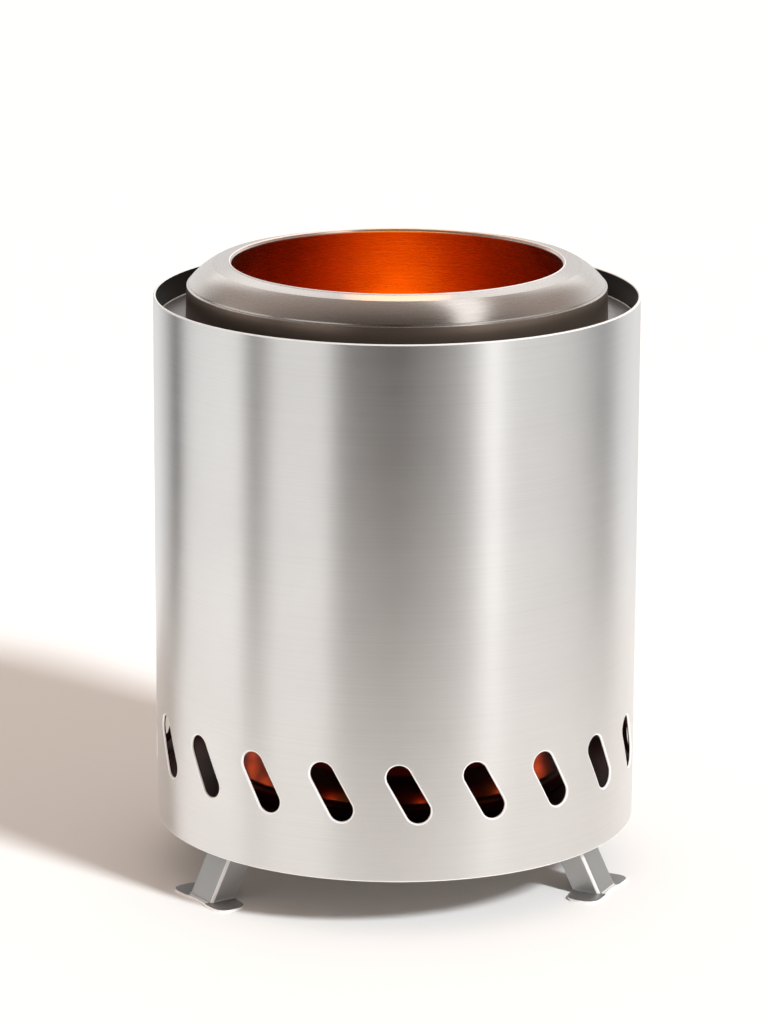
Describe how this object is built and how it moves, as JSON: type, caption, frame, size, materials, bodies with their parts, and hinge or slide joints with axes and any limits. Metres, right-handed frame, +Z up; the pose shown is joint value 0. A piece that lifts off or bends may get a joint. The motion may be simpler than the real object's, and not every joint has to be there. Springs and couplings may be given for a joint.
{
  "type": "portable wood stove",
  "caption": "Slotted double-wall steel drum stove on folding channel legs, with a lift-off flame ring over a round burn chamber, a perforated grate and an ash pan.",
  "frame": {"origin": "on the ground under the drum's axis", "axes": "+Z up along the drum's axis, -Y towards the front as pictured, +X to its right"},
  "size_m": [0.178, 0.1787, 0.2294],
  "materials": {
    "brushed_shell": "brushed around the drum, satin gloss",
    "ring_steel": "satin, warm grey",
    "heated_steel": "dull, heat tinted red brown",
    "leg_steel": "smooth rolled sheet, satin",
    "plain_steel": "rolled sheet, dull"
  },
  "bodies": {
    "drum": {"outer_shell": "brushed_shell", "base_plate": "plain_steel", "heat_shield": "heated_steel", "burn_chamber": "heated_steel", "chamber_floor": "heated_steel", "front_right_leg_bracket": "plain_steel", "front_right_hinge_pin": "plain_steel", "front_right_bracket_rivet_1": "plain_steel", "front_right_bracket_rivet_2": "plain_steel", "rear_leg_bracket": "plain_steel", "rear_hinge_pin": "plain_steel", "rear_bracket_rivet_1": "plain_steel", "rear_bracket_rivet_2": "plain_steel", "front_left_leg_bracket": "plain_steel", "front_left_hinge_pin": "plain_steel", "front_left_bracket_rivet_1": "plain_steel", "front_left_bracket_rivet_2": "plain_steel"},
    "flame_ring": {"flame_ring": "ring_steel"},
    "ash_pan": {"ash_pan": "heated_steel"},
    "fuel_grate": {"fuel_grate": "heated_steel"},
    "front_right_leg": {"front_right_leg": "leg_steel"},
    "rear_leg": {"rear_leg": "leg_steel"},
    "front_left_leg": {"front_left_leg": "leg_steel"}
  },
  "joints": [
    {"name": "flame_ring_lift", "type": "slide", "parent": "drum", "child": "flame_ring", "axis": [0, 0, 1], "range_m": [0, 0.06]},
    {"name": "ash_pan_lift", "type": "slide", "parent": "drum", "child": "ash_pan", "axis": [0, 0, 1], "range_m": [0, 0.19]},
    {"name": "fuel_grate_lift", "type": "slide", "parent": "ash_pan", "child": "fuel_grate", "axis": [0, 0, 1], "range_m": [0, 0.175]},
    {"name": "front_right_leg_fold", "type": "hinge", "parent": "drum", "child": "front_right_leg", "pos_m": [0.06161, -0.02886, 0.028], "axis": [0.4242, 0.9056, 0], "range_deg": [0, 116.5]},
    {"name": "rear_leg_fold", "type": "hinge", "parent": "drum", "child": "rear_leg", "pos_m": [-0.00581, 0.06778, 0.028], "axis": [-0.9963, -0.0854, 0], "range_deg": [0, 116.5]},
    {"name": "front_left_leg_fold", "type": "hinge", "parent": "drum", "child": "front_left_leg", "pos_m": [-0.0558, -0.03892, 0.028], "axis": [0.5721, -0.8202, 0], "range_deg": [0, 116.5]}
  ]
}
